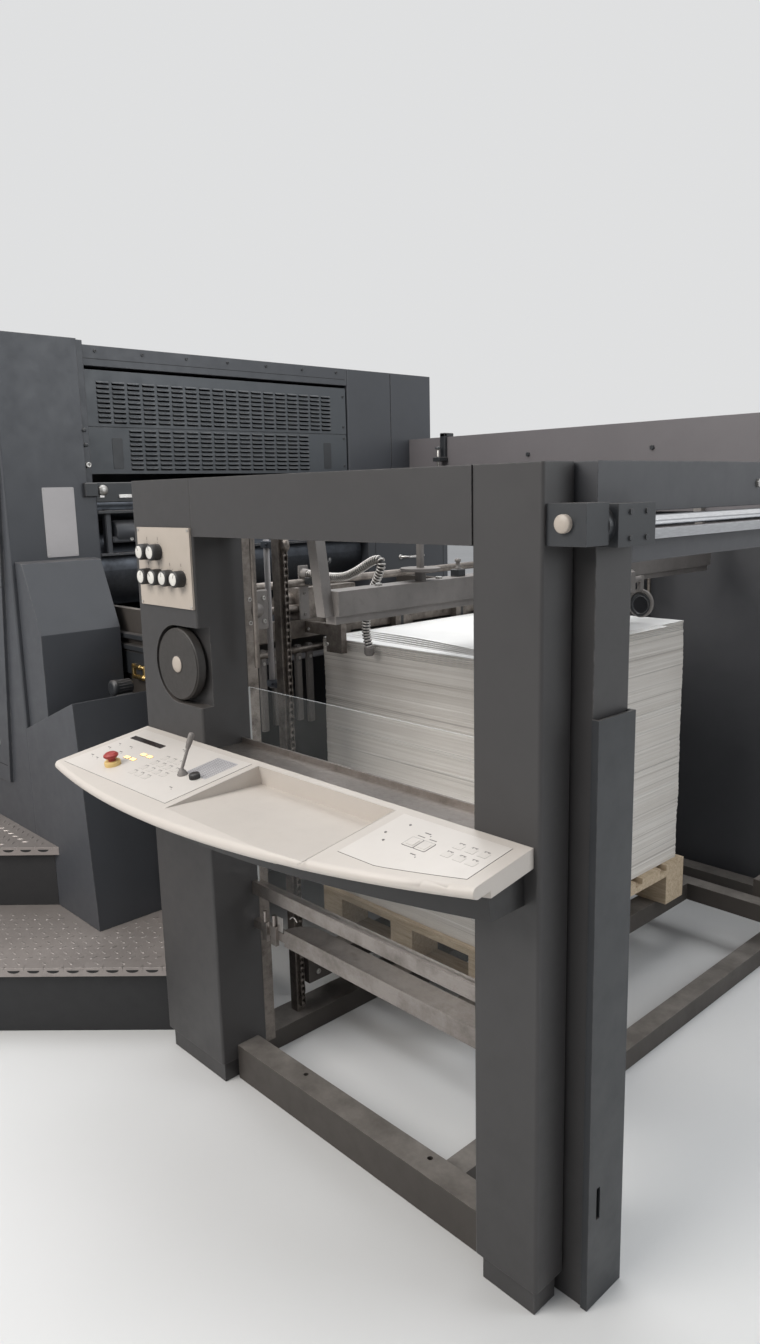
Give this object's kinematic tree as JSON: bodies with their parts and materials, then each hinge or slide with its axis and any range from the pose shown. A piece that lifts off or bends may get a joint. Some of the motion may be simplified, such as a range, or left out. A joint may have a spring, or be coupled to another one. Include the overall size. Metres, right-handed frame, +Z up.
{
  "type": "offset printing press",
  "caption": "Sheet-fed offset printing press with pile feeder, console desk, printing units, side steps and delivery.",
  "frame": {"origin": "centre of the machine's footprint at floor level", "axes": "+X along the machine towards the feeder's rear, -Y the operator side, +Z up"},
  "size_m": [6.578, 3.5, 2.137],
  "materials": {
    "dark_paint": "satin, fine texture",
    "beam_paint": "worn satin",
    "black_paint": "satin",
    "unit_paint": "satin",
    "bright_chrome": "polished",
    "floor_steel": "worn, dusty",
    "clear_guard": "clear, scuffed",
    "rail_steel": "worn",
    "desk_plastic": "fine grain",
    "black_plastic": "satin",
    "key_plastic": "satin",
    "stop_red": "satin",
    "cream_plate": "satin",
    "oiled_steel": "oily, dusty",
    "paper": "uncoated paper",
    "pallet_wood": "raw softwood",
    "hose_metal": "ribbed",
    "tread_metal": "worn raised pattern"
  },
  "bodies": {
    "press": {"feeder_front_post": "dark_paint", "rear_posts": "dark_paint", "feeder_top_beam": "dark_paint", "drive_posts": "dark_paint", "drive_beams": "beam_paint", "drive_panel": "dark_paint", "column_covers": "black_paint", "rear_cross_beam": "dark_paint", "pivot_brackets": "black_paint", "rear_bars": "bright_chrome", "base_beams": "floor_steel", "guard_window": "clear_guard", "shelf_and_rails": "rail_steel", "console_desk": "desk_plastic", "console_apron": "black_plastic", "console_controls": "key_plastic", "knob_plate": "cream_plate", "chain_guides": "oiled_steel", "front_cross_rails": "oiled_steel", "suction_head": "oiled_steel", "air_hose": "hose_metal", "feed_board": "oiled_steel", "unit_towers": "unit_paint", "unit_beds": "unit_paint", "head_covers": "unit_paint", "press_cylinders": "oiled_steel", "pedestal_and_chute": "unit_paint", "gallery_plinths": "black_paint", "gallery_treads": "tread_metal", "delivery_frame": "unit_paint", "delivery_pile": "paper", "delivery_pallet": "pallet_wood"},
    "pile_hoist": {"pile_carrier": "oiled_steel", "pallet": "pallet_wood", "paper_pile": "paper"},
    "hand_wheel": {"hand_wheel": "black_plastic"},
    "guard_1": {"louvre_guard_1": "unit_paint"},
    "guard_2": {"louvre_guard_2": "unit_paint"},
    "stop_button": {"stop_button": "stop_red"},
    "knob_1": {"air_knob_1": "black_plastic"},
    "knob_2": {"air_knob_2": "black_plastic"},
    "knob_3": {"air_knob_3": "black_plastic"},
    "knob_4": {"air_knob_4": "black_plastic"},
    "knob_5": {"air_knob_5": "black_plastic"},
    "knob_6": {"air_knob_6": "black_plastic"}
  },
  "joints": [
    {"name": "hoist_lift", "type": "slide", "parent": "press", "child": "pile_hoist", "axis": [0, 0, 1], "range_m": [-0.08, 0.015]},
    {"name": "wheel_turn", "type": "hinge", "parent": "press", "child": "hand_wheel", "pos_m": [2.0305, -1.065, 1.17], "axis": [0, 1, 0], "continuous": true},
    {"name": "guard_1_swing", "type": "hinge", "parent": "press", "child": "guard_1", "pos_m": [0.8875, 0, 2.041], "axis": [0, -1, 0], "range_deg": [0, 80]},
    {"name": "guard_2_swing", "type": "hinge", "parent": "press", "child": "guard_2", "pos_m": [-0.3125, 0, 2.041], "axis": [0, -1, 0], "range_deg": [0, 80]},
    {"name": "stop_press", "type": "slide", "parent": "press", "child": "stop_button", "axis": [0, -0.1564, 0.9877], "range_m": [-0.004, 0]},
    {"name": "knob_1_turn", "type": "hinge", "parent": "press", "child": "knob_1", "pos_m": [1.9285, -1.1, 1.46], "axis": [0, 1, 0], "range_deg": [-150, 150]},
    {"name": "knob_2_turn", "type": "hinge", "parent": "press", "child": "knob_2", "pos_m": [1.9815, -1.1, 1.46], "axis": [0, 1, 0], "range_deg": [-150, 150]},
    {"name": "knob_3_turn", "type": "hinge", "parent": "press", "child": "knob_3", "pos_m": [1.9285, -1.1, 1.396], "axis": [0, 1, 0], "range_deg": [-150, 150]},
    {"name": "knob_4_turn", "type": "hinge", "parent": "press", "child": "knob_4", "pos_m": [1.9815, -1.1, 1.396], "axis": [0, 1, 0], "range_deg": [-150, 150]},
    {"name": "knob_5_turn", "type": "hinge", "parent": "press", "child": "knob_5", "pos_m": [2.0345, -1.1, 1.396], "axis": [0, 1, 0], "range_deg": [-150, 150]},
    {"name": "knob_6_turn", "type": "hinge", "parent": "press", "child": "knob_6", "pos_m": [2.0875, -1.1, 1.396], "axis": [0, 1, 0], "range_deg": [-150, 150]}
  ]
}
